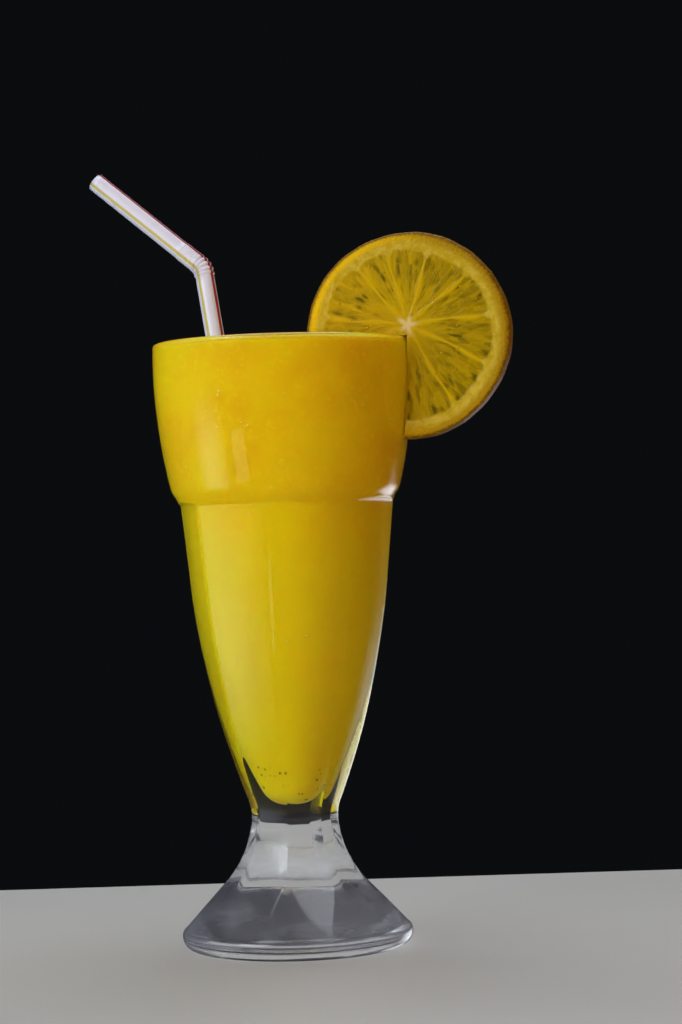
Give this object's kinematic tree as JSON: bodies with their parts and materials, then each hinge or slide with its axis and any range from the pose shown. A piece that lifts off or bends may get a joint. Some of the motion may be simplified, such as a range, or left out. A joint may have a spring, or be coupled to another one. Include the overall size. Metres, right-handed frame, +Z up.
{
  "type": "glass of orange juice",
  "caption": "Tall footed glass filled to near its rim with orange juice, with a bendy drinking straw and a round citrus slice slotted on the rim.",
  "frame": {"origin": "centre of the foot's flat resting face", "axes": "+Z up along the axis of the glass, -Y towards the side that is looked at, +X towards the slice"},
  "size_m": [0.1378, 0.091, 0.2574],
  "materials": {
    "glass": "clear pressed soda-lime glass, fire-polished",
    "juice": "cloudy yellow juice with fine pulp, wet",
    "straw": "thin white plastic with a yellow and a red stripe",
    "citrus_slice": "wet translucent flesh in a pale pith and a yellow rind"
  },
  "bodies": {
    "root": {"glass": "glass", "juice": "juice", "straw": "straw", "citrus_slice": "citrus_slice"}
  },
  "joints": []
}
